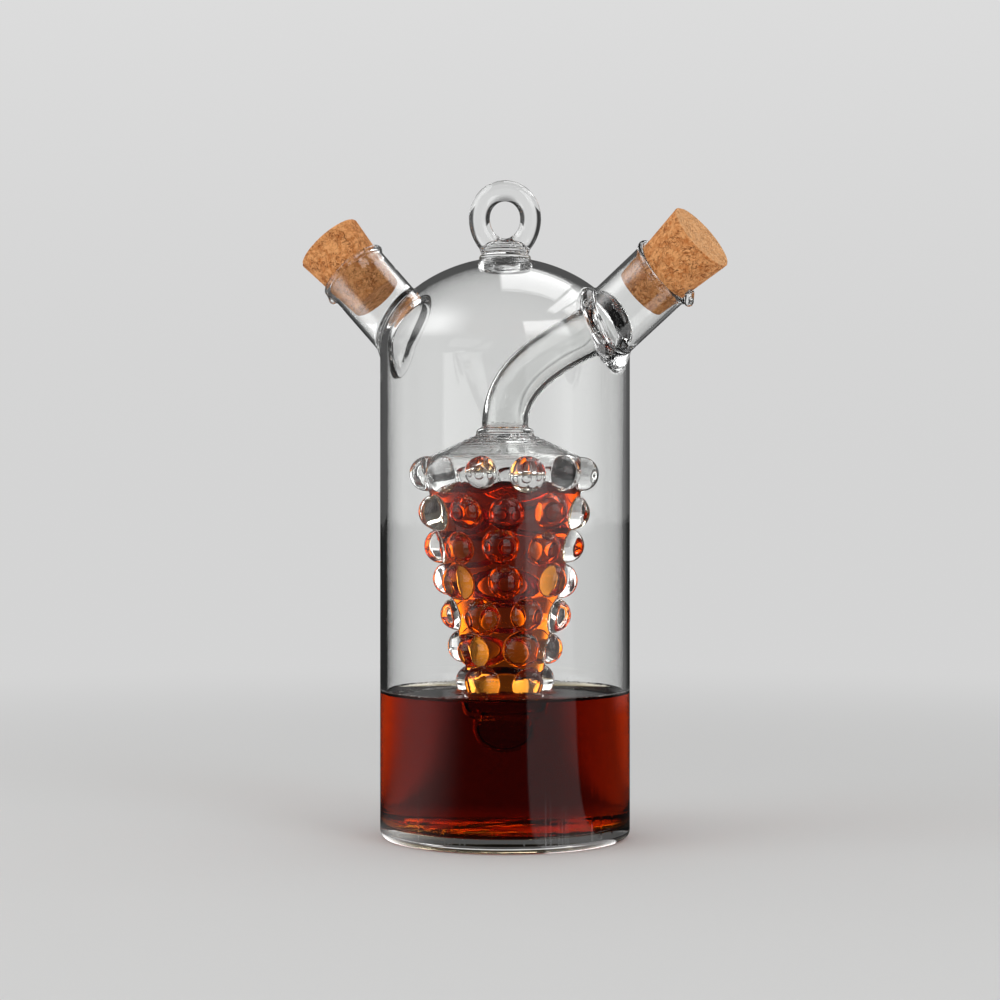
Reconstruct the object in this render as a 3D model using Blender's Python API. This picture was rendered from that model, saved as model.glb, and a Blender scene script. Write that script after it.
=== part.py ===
"""Two-chamber liquor bottle in clear lampworked glass: a domed jar round a hanging grape-cluster vessel.

Metres, +Z up. The origin is the centre of the flat base, -Y is the front and +X the right.
The jar pours through the left spout and the grape vessel through the right one. Each spout has a cork.
"""

import math

import bmesh
import bpy
from mathutils import Matrix, Vector

# Clearances that all pieces share, and how the meshes are made
fuse_gap = 0.0003
cork_clearance = 0.00015
cut_overrun = 0.004
merge_distance = 0.000001
sharp_angle = math.radians(35)
bead_steps = 4
search_steps = 50

# Outer jar: a tube with a flat thick base, closed by a flattened dome
jar_diameter = 0.075
jar_wall = 0.002
jar_base = 0.004
jar_spring_height = 0.147
dome_rise = 0.027
dome_power = 1.85
base_edge_radius = 0.0025
inside_edge_radius = 0.003
jar_steps = 44
dome_steps = 6
edge_steps = 3

# Hanging ring and the beaded foot that carries it
ring_rod_diameter = 0.0062
ring_width = 0.0216
ring_hole_height = 0.0114
ring_foot_diameter = 0.0125
ring_foot_height = 0.0019
foot_bead_radius = 0.0008
ring_steps = 24
ring_sides = 10

# Spout tubes, the same for both chambers
neck_diameter = 0.0205
neck_wall = 0.0011
neck_standout = 0.021
lip_flare = 0.0006
lip_length = 0.0022
beak_reach = 0.0024
beak_length = 0.003
beak_half_angle = math.radians(15)
neck_steps = 36

# Where each spout leaves the jar
outer_elevation = math.radians(48.0)
outer_azimuth = math.radians(164.6)
outer_root_drop = 0.0291
inner_elevation = math.radians(38.6)
inner_azimuth = math.radians(-29.8)
inner_root_drop = 0.0223

# Melted beads round the spouts' feet
outer_weld_radius = 0.0014
inner_weld_radius = 0.0019
weld_sides = 8

# Corks
cork_taper = math.radians(6.3)
outer_cork_out = 0.0109
outer_cork_in = 0.0123
outer_mouth_depth = 0.005
inner_cork_out = 0.0156
inner_cork_in = 0.0085
inner_mouth_depth = 0.0012
cork_edge = 0.0004
cork_steps = 32

# Pour tube from the right spout's seal down to the grape vessel
pour_diameter = 0.0139
pour_wall = 0.0014
pour_flare = 0.0008
pour_flare_length = 0.005
pour_leave_elevation = math.radians(20.6)
pour_start_share = 0.60
pour_end_share = 0.50
pour_foot_length = 0.002
pour_steps = 14
pour_sides = 20
seal_steps = 4

# Grape vessel: a hollow cone under a sloped shoulder, hung below the spring line and clear of the floor
vessel_drop = 0.026
vessel_wall = 0.0013
vessel_neck_radius = 0.009
vessel_neck_drop = 0.0006
shoulder_radius = 0.0240
shoulder_drop = 0.0120
shoulder_share = ((0.43, 0.24), (0.84, 0.50), (0.975, 0.76))
cone_foot_rise = 0.0047
cone_foot_radius = 0.0091
tip_radius = 0.007
tip_clearance = 0.0223
vessel_steps = 32
collar_bead_radius = 0.0011

# Solid glass berries: a top row under the neck, then even rows from the second down to the last
berry_radius = 0.0051
berry_sink = 0.0012
top_row_drop = 0.0122
second_row_drop = 0.0113
last_row_rise = 0.0134
berry_sides = 10
berry_rings = 6

# Where the berries of each row stand, in degrees from the front towards the right, and how many are behind
row_front_angles = (
    (-84, -50, -17, 16, 46, 76),
    (-66, -32, 1, 38, 74),
    (-84, -43, -4, 36, 77),
    (-96, -51, 0, 52, 98),
    (-80, -27, 25, 78),
    (-102, -45, 22, 84),
    (-108, -38, 38, 108),
)
row_back_counts = (5, 6, 4, 3, 3, 2, 1)

# Liquor in the two chambers
outer_level = 0.043
inner_level_drop = 0.0156

jar_radius = jar_diameter / 2
neck_radius = neck_diameter / 2
bore_radius = neck_radius - neck_wall
pour_radius = pour_diameter / 2
dome_height = jar_spring_height + dome_rise
vessel_top_height = jar_spring_height - vessel_drop
tip_height = jar_base + tip_clearance + tip_radius
cone_foot_height = tip_height + cone_foot_rise
inner_level = vessel_top_height - inner_level_drop


def material(name, colour, roughness, metallic=0.0, transmission=0.0):
    """A Principled material, shared by nothing else."""
    made = bpy.data.materials.new(name)
    made.use_nodes = True
    shader = made.node_tree.nodes["Principled BSDF"]
    shader.inputs["Base Color"].default_value = (*colour, 1.0)
    shader.inputs["Roughness"].default_value = roughness
    shader.inputs["Metallic"].default_value = metallic
    shader.inputs["Transmission Weight"].default_value = transmission
    made.diffuse_color = (*colour, 1.0)
    return made


def clear_glass(name):
    """Colourless polished borosilicate glass."""
    return material(name, (0.92, 0.94, 0.94), 0.03, transmission=1.0)


def amber_liquor(name):
    """Amber-red spirit."""
    return material(name, (0.52, 0.12, 0.02), 0.02, transmission=0.9)


def pressed_cork(name):
    """Warm tan agglomerated cork."""
    return material(name, (0.58, 0.36, 0.19), 0.85)


def add_object(name, bm, surface=None):
    """Wraps a mesh in an object, smooth on its round sides and sharp at its edges."""
    bmesh.ops.recalc_face_normals(bm, faces=bm.faces)
    mesh = bpy.data.meshes.new(name)
    bm.to_mesh(mesh)
    bm.free()
    mesh.shade_smooth()
    mesh.set_sharp_from_angle(angle=sharp_angle)
    made = bpy.data.objects.new(name, mesh)
    bpy.context.scene.collection.objects.link(made)
    if surface:
        mesh.materials.append(surface)
    return made


def turned(name, outline, steps, surface=None, loop=False):
    """A solid turned about Z from (radius, height) points.

    The outline of a loop is closed, and any other outline starts and ends on the axis.
    """
    bm = bmesh.new()
    points = [bm.verts.new((r, 0, z)) for r, z in outline]
    edges = [bm.edges.new(pair) for pair in zip(points, points[1:])]
    if loop:
        edges.append(bm.edges.new((points[-1], points[0])))
    bmesh.ops.spin(
        bm,
        geom=points + edges,
        cent=(0, 0, 0),
        axis=(0, 0, 1),
        angle=2 * math.pi,
        steps=steps,
        use_merge=True,
    )
    bmesh.ops.remove_doubles(bm, verts=bm.verts, dist=merge_distance)
    return add_object(name, bm, surface)


def swept(name, centres, radii, reference, sides, surface=None, closed=False):
    """A round bar along a path, with one radius a point; reference is square to the path's plane."""
    bm = bmesh.new()
    count = len(centres)
    rings = []
    for i, (centre, radius) in enumerate(zip(centres, radii)):
        ahead = centres[(i + 1) % count] if closed else centres[min(i + 1, count - 1)]
        behind = centres[i - 1] if closed else centres[max(i - 1, 0)]
        tangent = (ahead - behind).normalized()
        across = reference.cross(tangent).normalized()
        up = tangent.cross(across)
        ring = []
        for k in range(sides):
            turn = 2 * math.pi * k / sides
            offset = across * math.cos(turn) + up * math.sin(turn)
            ring.append(bm.verts.new(centre + offset * radius))
        rings.append(ring)
    if not closed:
        bm.faces.new(rings[0])
        bm.faces.new(rings[-1])
    pairs = list(zip(rings, rings[1:]))
    if closed:
        pairs.append((rings[-1], rings[0]))
    for first, second in pairs:
        for k in range(sides):
            after = (k + 1) % sides
            bm.faces.new((first[k], first[after], second[after], second[k]))
    return add_object(name, bm, surface)


def as_cutter(tool):
    """Marks a solid as a tool that shapes others and is no piece itself."""
    tool.hide_render = True
    tool.display_type = "WIRE"
    return tool


def combine(target, tool, operation="DIFFERENCE"):
    """Cuts, joins or trims a solid with a tool; the parts of a tool that is joined may run into each other."""
    step = target.modifiers.new(operation.title(), "BOOLEAN")
    step.solver = "EXACT"
    step.operation = operation
    step.use_self = operation == "UNION"
    step.object = as_cutter(tool)


def arc(centre, radius, start, end, steps):
    """Points of an arc in the outline's plane, from start to end in radians."""
    points = []
    for i in range(steps + 1):
        turn = start + (end - start) * i / steps
        points.append((centre[0] + radius * math.cos(turn), centre[1] + radius * math.sin(turn)))
    return points


def dome_outline(grow):
    """The dome's points from its crown down to the spring line, grown outwards by a small amount."""
    points = []
    for i in range(dome_steps + 1):
        turn = math.pi / 2 * i / dome_steps
        across = math.sin(turn) ** (2 / dome_power)
        up = max(math.cos(turn), 0.0) ** (2 / dome_power)
        points.append(((jar_radius + grow) * across, jar_spring_height + (dome_rise + grow) * up))
    points[0] = (0, dome_height + grow)
    points[-1] = (jar_radius + grow, jar_spring_height)
    return points


def jar_outside(name, grow, surface=None):
    """The jar as a solid block, without its hollow."""
    radius = jar_radius + grow
    corner = arc((radius - base_edge_radius, base_edge_radius), base_edge_radius, 0, -math.pi / 2, edge_steps)
    return turned(name, dome_outline(grow) + corner + [(0, 0)], jar_steps, surface)


def jar_inside(name):
    """The hollow of the jar, above its base."""
    radius = jar_radius - jar_wall
    floor = jar_base + inside_edge_radius
    corner = arc((radius - inside_edge_radius, floor), inside_edge_radius, 0, -math.pi / 2, edge_steps)
    return turned(name, dome_outline(-jar_wall) + corner + [(0, jar_base)], jar_steps)


def on_dome(radius, height):
    """Below 1 inside the jar's outside surface, above 1 outside it."""
    rise = max(height - jar_spring_height, 0) / dome_rise
    return (radius / jar_radius) ** dome_power + rise**dome_power


def crossing(start, direction):
    """How far along a line from inside the jar its outside surface lies."""
    near = 0.0
    far = jar_diameter + dome_height
    for _ in range(search_steps):
        middle = (near + far) / 2
        point = start + direction * middle
        if on_dome(math.hypot(point.x, point.y), point.z) < 1:
            near = middle
        else:
            far = middle
    return near


def direction_of(elevation, azimuth):
    """The unit vector at an elevation above the ground and an azimuth from +X."""
    level = math.cos(elevation)
    return Vector((level * math.cos(azimuth), level * math.sin(azimuth), math.sin(elevation)))


def spout_frame(name, elevation, azimuth, root_drop):
    """An empty at the spout's root on the jar's axis, its Z along the spout and its X towards the ground."""
    axis = direction_of(elevation, azimuth)
    side = Vector((0, 0, 1)).cross(axis).normalized()
    down = side.cross(axis)
    frame = bpy.data.objects.new(name, None)
    bpy.context.scene.collection.objects.link(frame)
    turn = Matrix((down, -side, axis)).transposed().to_4x4()
    frame.matrix_world = Matrix.Translation((0, 0, jar_spring_height - root_drop)) @ turn
    return frame


def hang(child, frame):
    """Places a piece in a spout's frame."""
    child.parent = frame
    return child


def outer_jar():
    """The jar: its hollow, the left spout's mouth and the seal hole of the pour tube are cut out."""
    jar = jar_outside("outer_jar", 0, clear_glass("jar_glass"))
    combine(jar, jar_inside("jar_hollow"))
    reach = [crossing_point(outer_frame) - cut_overrun * 2, crossing_point(outer_frame) + cut_overrun * 2]
    hole = turned("left_hole", rod_outline(bore_radius, reach[0], reach[1]), neck_steps)
    combine(jar, hang(hole, outer_frame))
    combine(jar, pour_rod("seal_hole", pour_radius + pour_flare + fuse_gap, seal_steps))
    return jar


def rod_outline(radius, low, high):
    """The outline of a plain rod."""
    return [(0, high), (radius, high), (radius, low), (0, low)]


def axis_of(frame):
    """The world direction of a frame's Z."""
    return frame.matrix_world.to_3x3() @ Vector((0, 0, 1))


def crossing_point(frame):
    """How far from its root a spout's axis leaves the jar."""
    return crossing(frame.matrix_world.translation, axis_of(frame))


def rim_reach(frame):
    """How far from its root a spout ends."""
    return crossing_point(frame) + neck_standout


def ring_foot():
    """A turned stub with two melted beads, seated on the crown of the dome."""
    seat = dome_height + fuse_gap
    radius = ring_foot_diameter / 2
    top = seat + ring_foot_height
    upper = arc((radius, top - foot_bead_radius), foot_bead_radius, math.pi / 2, -math.pi / 2, bead_steps)
    lower = arc((radius + foot_bead_radius, seat), foot_bead_radius, math.pi / 2, -math.pi / 2, bead_steps)
    foot = turned("ring_foot", [(0, top)] + upper + lower + [(0, seat - foot_bead_radius)], ring_steps)
    foot.data.materials.append(clear_glass("foot_glass"))
    combine(foot, jar_outside("foot_seat", fuse_gap))
    return foot


def hanging_ring():
    """A glass rod bent into an upright egg-shaped loop, flat where it stands on its foot."""
    rod = ring_rod_diameter / 2
    stand = dome_height + ring_foot_height + 2 * fuse_gap
    half_width = (ring_width - ring_rod_diameter) / 2
    half_height = (ring_hole_height + ring_rod_diameter) / 2
    middle = stand + half_height
    centres = []
    for i in range(ring_steps):
        turn = 2 * math.pi * i / ring_steps
        centres.append(Vector((half_width * math.cos(turn), 0, middle + half_height * math.sin(turn))))
    ring = swept("hanging_ring", centres, [rod] * ring_steps, Vector((0, 1, 0)), ring_sides,
                 clear_glass("ring_glass"), closed=True)
    below = turned("ring_trim", rod_outline(ring_width, stand - ring_rod_diameter, stand), ring_steps)
    combine(ring, below)
    return ring


def mouth_slope(depth):
    """How much the bore opens where the mouth takes the cork's taper."""
    return depth * math.tan(cork_taper)


def spout(name, frame, mouth_depth):
    """A neck tube with a flared, fire-polished lip and a small pulled beak on its lower side."""
    rim = rim_reach(frame)
    foot = crossing_point(frame) - neck_radius - cut_overrun
    mouth = bore_radius + mouth_slope(mouth_depth)
    edge = neck_radius + lip_flare
    half_lip = (edge - mouth) / 2
    lip = arc((mouth + half_lip, rim - half_lip), half_lip, math.pi, 0, bead_steps)
    outline = list(lip)
    outline += [(neck_radius, rim - lip_length), (neck_radius, foot), (bore_radius, foot)]
    outline += [(bore_radius, rim - max(mouth_depth, lip_length))]
    tube = turned(name, outline, neck_steps, clear_glass(name + "_glass"), loop=True)
    for point in tube.data.vertices:
        pull_beak(point, rim)
    hang(tube, frame)
    combine(tube, jar_outside(name + "_seat", fuse_gap))
    return tube


def pull_beak(point, rim):
    """Draws a lip point outwards where the pouring beak is."""
    turn = math.atan2(point.co.y, point.co.x)
    near_rim = max(0.0, 1 - (rim - point.co.z) / beak_length)
    pull = beak_reach * near_rim**2 * math.exp(-((turn / beak_half_angle) ** 2))
    point.co.x += pull * math.cos(turn)
    point.co.y += pull * math.sin(turn)


def weld(name, frame, radius):
    """A melted bead along the curve where a spout meets the dome."""
    centres = []
    for i in range(neck_steps):
        turn = 2 * math.pi * i / neck_steps
        start = frame.matrix_world @ Vector((neck_radius * math.cos(turn), neck_radius * math.sin(turn), 0))
        reach = crossing(start, axis_of(frame))
        centres.append(start + axis_of(frame) * reach)
    bead = swept(name, centres, [radius] * neck_steps, axis_of(frame), weld_sides,
                 clear_glass(name + "_glass"), closed=True)
    combine(bead, jar_outside(name + "_seat", fuse_gap))
    low = crossing_point(frame) - neck_diameter
    core = turned(name + "_core", rod_outline(neck_radius + fuse_gap, low, rim_reach(frame)), neck_steps)
    combine(bead, hang(core, frame))
    return bead


def cork(name, frame, mouth_depth, length_out, length_in):
    """A tapered cork whose side touches the bore where the mouth's opening ends."""
    rim = rim_reach(frame)
    seat = bore_radius - cork_clearance
    top = seat + mouth_slope(length_out + mouth_depth)
    foot = seat - mouth_slope(length_in - mouth_depth)
    outline = [(0, length_out), (top - cork_edge, length_out), (top, length_out - cork_edge)]
    outline += [(foot, cork_edge - length_in), (foot - cork_edge, -length_in), (0, -length_in)]
    stopper = turned(name, outline, cork_steps, pressed_cork(name + "_grain"))
    stopper.location = (0, 0, rim)
    return hang(stopper, frame)


def pour_path(lead):
    """Points of the pour tube's middle line, from outside the seal to the top of the grape vessel."""
    level = math.cos(inner_azimuth), math.sin(inner_azimuth)
    start = inner_frame.matrix_world.translation + axis_of(inner_frame) * crossing_point(inner_frame)
    run = math.hypot(start.x, start.y)
    foot = vessel_top_height + fuse_gap
    end = foot + pour_foot_length
    drop = start.z - end
    leave = run * pour_start_share
    plan = [
        (run, start.z),
        (run - leave * math.cos(pour_leave_elevation), start.z - leave * math.sin(pour_leave_elevation)),
        (0, end + drop * pour_end_share),
        (0, end),
    ]
    flat = [(run + lead * math.cos(pour_leave_elevation), start.z + lead * math.sin(pour_leave_elevation))]
    for i in range(pour_steps + 1):
        t = i / pour_steps
        weights = ((1 - t) ** 3, 3 * t * (1 - t) ** 2, 3 * t * t * (1 - t), t**3)
        flat.append(tuple(sum(w * p[axis] for w, p in zip(weights, plan)) for axis in (0, 1)))
    flat.append((0, foot))
    return [Vector((r * level[0], r * level[1], z)) for r, z in flat]


def pour_plane():
    """The direction square to the pour tube's plane."""
    return Vector((math.sin(inner_azimuth), -math.cos(inner_azimuth), 0))


def pour_rod(name, radius, points, surface=None):
    """A round bar along the first points of the pour tube's path."""
    path = pour_path(cut_overrun)[: points + 1]
    return swept(name, path, [radius] * len(path), pour_plane(), pour_sides, surface)


def pour_tube():
    """The bent tube, flared at the ring seal, trimmed flush with the dome and bored from end to end."""
    path = pour_path(cut_overrun)
    walked = 0.0
    radii = []
    for i, point in enumerate(path):
        walked += (point - path[i - 1]).length if i else 0.0
        inward = max(0.0, walked - cut_overrun)
        radii.append(pour_radius + pour_flare * math.exp(-((inward / pour_flare_length) ** 2)))
    tube = swept("pour_tube", path, radii, pour_plane(), pour_sides, clear_glass("pour_glass"))
    combine(tube, jar_outside("pour_trim", 0), "INTERSECT")
    ends = [path[0] + (path[0] - path[1]).normalized() * cut_overrun]
    ends += path[1:] + [path[-1] - Vector((0, 0, cut_overrun))]
    bore = swept("pour_bore", ends, [r - pour_wall for r in [radii[0]] + radii[1:] + [radii[-1]]],
                 pour_plane(), pour_sides)
    combine(tube, bore)
    return tube


def vessel_radius(height):
    """The cone's outside radius at a height."""
    top = vessel_top_height - shoulder_drop
    share = (height - cone_foot_height) / (top - cone_foot_height)
    return cone_foot_radius + (shoulder_radius - cone_foot_radius) * share


def cone_outline(inset):
    """The cone from the shoulder's edge down to the tip, drawn in by a wall or grown by a gap."""
    tip = tip_radius - inset
    points = [
        (shoulder_radius - inset, vessel_top_height - shoulder_drop),
        (cone_foot_radius - inset, cone_foot_height),
    ]
    points += arc((0, tip_height), tip, 0, -math.pi / 2, bead_steps)[:-1]
    points.append((0, tip_height - tip))
    return points


def vessel_outline(inset):
    """The vessel's side from its neck down to its tip, drawn in by a wall."""
    neck = vessel_top_height - vessel_neck_drop - inset
    fall = shoulder_drop - vessel_neck_drop
    points = [(vessel_neck_radius - inset, neck)]
    for across, down in shoulder_share:
        radius = vessel_neck_radius + (shoulder_radius - vessel_neck_radius) * across
        points.append((radius - inset, neck - fall * down))
    return points + cone_outline(inset)


def berry_places():
    """The centre of each berry and the direction it points in."""
    places = []
    top = vessel_top_height - top_row_drop
    second = top - second_row_drop
    pitch = (second - tip_height - last_row_rise) / (len(row_back_counts) - 2)
    heights = [top] + [second - pitch * k for k in range(len(row_back_counts) - 1)]
    for height, front, back in zip(heights, row_front_angles, row_back_counts):
        gap = (360 + front[0] - front[-1]) / (back + 1)
        angles = list(front) + [front[-1] + gap * (k + 1) for k in range(back)]
        for angle in angles:
            turn = math.radians(angle)
            outward = Vector((math.sin(turn), -math.cos(turn), 0))
            radius = vessel_radius(height) - berry_sink
            places.append((outward * radius + Vector((0, 0, height)), outward))
    return places


def berry_balls(name, grow, lowest=0.0, highest=dome_height):
    """Glass balls, all in one tool, with their poles pointing out of the vessel."""
    bm = bmesh.new()
    for centre, outward in berry_places():
        if lowest <= centre.z <= highest:
            turn = outward.to_track_quat("Z", "X").to_matrix().to_4x4()
            bmesh.ops.create_uvsphere(bm, u_segments=berry_sides, v_segments=berry_rings,
                                      radius=berry_radius + grow, matrix=Matrix.Translation(centre) @ turn)
    return add_object(name, bm)


def grape_vessel():
    """The inner chamber: a turned shell with its berries melted on, open at the neck."""
    outline = [(0, vessel_top_height), (pour_radius, vessel_top_height)] + vessel_outline(0)
    vessel = turned("grape_vessel", outline, vessel_steps, clear_glass("vessel_glass"))
    combine(vessel, berry_balls("berries", 0), "UNION")
    bore = pour_radius - pour_wall
    outline = [(0, vessel_top_height + cut_overrun), (bore, vessel_top_height + cut_overrun)]
    outline += [(bore, vessel_top_height - vessel_neck_drop - vessel_wall)] + vessel_outline(vessel_wall)
    combine(vessel, turned("vessel_hollow", outline, vessel_steps))
    return vessel


def vessel_collar():
    """The melted bead where the pour tube stands on the vessel's neck."""
    centre = (pour_radius + fuse_gap + collar_bead_radius, vessel_top_height + fuse_gap + collar_bead_radius)
    outline = arc(centre, collar_bead_radius, 0, -2 * math.pi, 2 * bead_steps)[:-1]
    return turned("vessel_collar", outline, pour_sides, clear_glass("collar_glass"), loop=True)


def outer_liquor():
    """Liquor in the jar, hollowed where the tip of the grape vessel dips into it."""
    radius = jar_radius - jar_wall - fuse_gap
    floor = jar_base + fuse_gap
    corner = arc((radius - inside_edge_radius, floor + inside_edge_radius), inside_edge_radius,
                 0, -math.pi / 2, edge_steps)
    outline = [(0, outer_level), (radius, outer_level)] + corner + [(0, floor)]
    liquor = turned("outer_liquor", outline, jar_steps, amber_liquor("jar_liquor"))
    dip = [(0, vessel_top_height), (vessel_radius(vessel_top_height), vessel_top_height)]
    dip += cone_outline(-fuse_gap)
    combine(liquor, turned("vessel_dip", dip, vessel_steps))
    combine(liquor, berry_balls("dipped_berries", fuse_gap, highest=outer_level + berry_radius))
    return liquor


def inner_liquor():
    """Liquor in the grape vessel."""
    inset = vessel_wall + fuse_gap
    outline = [(0, inner_level), (vessel_radius(inner_level) - inset, inner_level)]
    outline += cone_outline(inset)[1:]
    return turned("inner_liquor", outline, vessel_steps, amber_liquor("vessel_liquor"))


for old in list(bpy.data.objects):
    bpy.data.objects.remove(old, do_unlink=True)

outer_frame = spout_frame("outer_spout_axis", outer_elevation, outer_azimuth, outer_root_drop)
inner_frame = spout_frame("inner_spout_axis", inner_elevation, inner_azimuth, inner_root_drop)

outer_jar()
ring_foot()
hanging_ring()
spout("outer_spout", outer_frame, outer_mouth_depth)
spout("inner_spout", inner_frame, inner_mouth_depth)
weld("outer_weld", outer_frame, outer_weld_radius)
weld("inner_weld", inner_frame, inner_weld_radius)
cork("outer_cork", outer_frame, outer_mouth_depth, outer_cork_out, outer_cork_in)
cork("inner_cork", inner_frame, inner_mouth_depth, inner_cork_out, inner_cork_in)
pour_tube()
grape_vessel()
vessel_collar()
outer_liquor()
inner_liquor()
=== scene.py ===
import math

import bmesh
import bpy
import numpy as np
from mathutils import Matrix, Vector, noise


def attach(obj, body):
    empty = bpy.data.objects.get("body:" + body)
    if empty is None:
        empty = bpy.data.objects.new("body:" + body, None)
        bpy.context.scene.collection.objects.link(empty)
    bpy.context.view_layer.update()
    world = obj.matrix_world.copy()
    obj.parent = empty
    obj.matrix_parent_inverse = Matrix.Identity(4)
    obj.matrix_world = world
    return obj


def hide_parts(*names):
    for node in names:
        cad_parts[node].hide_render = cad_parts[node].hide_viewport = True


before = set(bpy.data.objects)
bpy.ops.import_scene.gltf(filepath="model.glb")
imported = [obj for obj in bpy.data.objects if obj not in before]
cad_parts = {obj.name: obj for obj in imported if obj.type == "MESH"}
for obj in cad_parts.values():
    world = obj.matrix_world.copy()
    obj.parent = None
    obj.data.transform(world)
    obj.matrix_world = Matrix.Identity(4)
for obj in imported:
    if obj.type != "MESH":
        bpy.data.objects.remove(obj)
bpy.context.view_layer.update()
scene = bpy.context.scene

# Shapes are worked out in millimetres, as in the CAD model, and their meshes are in metres.
MM, PER_METRE = 0.001, 1000
GRID = 0.48

# Jar: radius, wall, base, the height where the dome springs, its rise and the power of its curve
JAR_R, JAR_WALL, JAR_BASE, SPRING, RISE, POWER = 37.5, 2.0, 4.0, 147.0, 27.0, 1.85
FOOT_ROUND, FLOOR_ROUND = 2.5, 3.0

# Spouts: tube, bore, lip, how far the wall swells at the rim and over what length, and the corks' taper
NECK_R, BORE_R, LIP_R, RIM_SWELL, RIM_LENGTH = 10.25, 9.15, 11.1, 0.35, 1.7
TAPER = math.tan(math.radians(6.3))
RIGHT_UP, RIGHT_ROUND = 38.6, -29.8
# Thickness of the welds at their feet, and radius, thickness and depth of the roll inside the left hole
LEFT_WELD, RIGHT_WELD, ROLL_R, ROLL, ROLL_DEPTH = 1.15, 1.85, 10.6, 1.45, 0.3

# Pour tube: outside, bore, slope at which it leaves the seal, foot above the vessel's top, length, the flares
# of its outside and its bore at the seal and their lengths, and where it stands straight
POUR_R, POUR_BORE, POUR_SLOPE, POUR_FOOT, POUR_LENGTH = 6.95, 5.55, 20.6, 2.3, 50.0
FLARE, FLARE_LENGTH, BORE_FLARE, BORE_FLARE_LENGTH = 1.0, 5.0, 2.4, 4.0
STRAIGHT_LOW, STRAIGHT_TOP = 116.0, 124.0

# Grape vessel: a cone from its shoulder down to its foot, and a round tip
VESSEL_TOP, SHOULDER_Z, SHOULDER_R, VESSEL_WALL = 121.0, 109.0, 24.0, 1.3
FOOT_Z, FOOT_R, TIP_R, TIP_Z = 38.0, 9.1, 7.0, 33.3
CONE = (SHOULDER_R - FOOT_R) / (SHOULDER_Z - FOOT_Z)
CONE_COS = 1 / math.hypot(1, CONE)
# The shoulder's slope: a radius and a height on it, and how far it runs out while it falls by so much
SLOPE_R, SLOPE_Z, SLOPE_RUN, SLOPE_FALL = 9, 120.4, 12.6, 5.7
# The collar, a melted bead where the pour tube stands on the vessel: radius, height, thickness
COLLAR_R, COLLAR_Z, COLLAR = 7.6, 121.5, 1.05

# Berries: heights of the rows, angles of those in front (0 at the front, + to the right), and how many share
# the rest of each row evenly behind
ROWS = (108.8, 97.5, 87.34, 77.18, 67.02, 56.86, 46.7)
FRONT = (
    (-84, -50, -17, 16, 46, 76),
    (-66, -32, 1, 38, 74),
    (-84, -43, -4, 36, 77),
    (-96, -51, 0, 52, 98),
    (-80, -27, 25, 78),
    (-102, -45, 22, 84),
    (-108, -38, 38, 108),
)
BACK = (5, 6, 4, 3, 3, 2, 1)
BERRY_R, BERRY_SINK, BERRY_MELT, BERRY_REACH = 5.15, 0.5, 0.25, 3.0

# Hanging ring: half its width and height, its middle, how egg-shaped it is, and its rod, thicker below
RING_W, RING_H, RING_Z, EGG, ROD_R, ROD_SWELL = 7.7, 8.9, 185.2, 0.05, 3.15, 0.25
# Its stub, the melted beads round that (radius, height, thickness), and the bulge under the dome
STUB_R, STUB_Z, STUB_HALF = 6.5, 174.5, 3.2
STUB_BEADS = ((6.4, 175.7, 0.75), (6.9, 173.9, 0.85))
BULGE_R, BULGE_Z, BULGE_HALF = 7.6, 172.4, 2.6

# Levels of the liquors, how far each overlaps the glass, and how far it climbs the walls
OUTER_LEVEL, INNER_LEVEL, OVERLAP = 43.0, 105.4, 0.12
JAR_CLIMB, BERRY_CLIMB, VESSEL_CLIMB = 1.5, 1.2, 1.3

GLASS_INDEX, LIQUOR_INDEX = 1.47, 1.36


# Distances: below zero inside a form, above zero outside it


def soft_min(a, b, melt):
    """Both forms together, melted into each other over a width."""
    h = np.clip(0.5 + 0.5 * (b - a) / melt, 0.0, 1.0)
    return b + (a - b) * h - melt * h * (1.0 - h)


def soft_max(a, b, melt):
    return -soft_min(-a, -b, melt)


def round_max(a, b, radius):
    """What two forms share, with a round edge."""
    corner = np.hypot(np.maximum(a + radius, 0), np.maximum(b + radius, 0))
    return np.minimum(np.maximum(a, b), -radius) + corner


def join(found, form, melt):
    return form if found is None else soft_min(found, form, melt)


def beyond(form, w, start):
    """The form beyond a place along a spout, and not where the spout's line meets the jar's far side."""
    return form + np.where(w > start, 0, 9.0)


def dome(r, z, grow):
    """The jar's skin with its flattened dome, grown by so much."""
    a, b = JAR_R + grow, RISE + grow
    q = r / a
    h = np.maximum(z - SPRING, 0) / b
    g = np.maximum(q**POWER + h**POWER, 1e-9) ** (1 / POWER)
    slope = np.hypot(q ** (POWER - 1) / a, h ** (POWER - 1) / b) * g ** (1 - POWER)
    return (g - 1) / np.maximum(slope, 1e-6)


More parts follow.
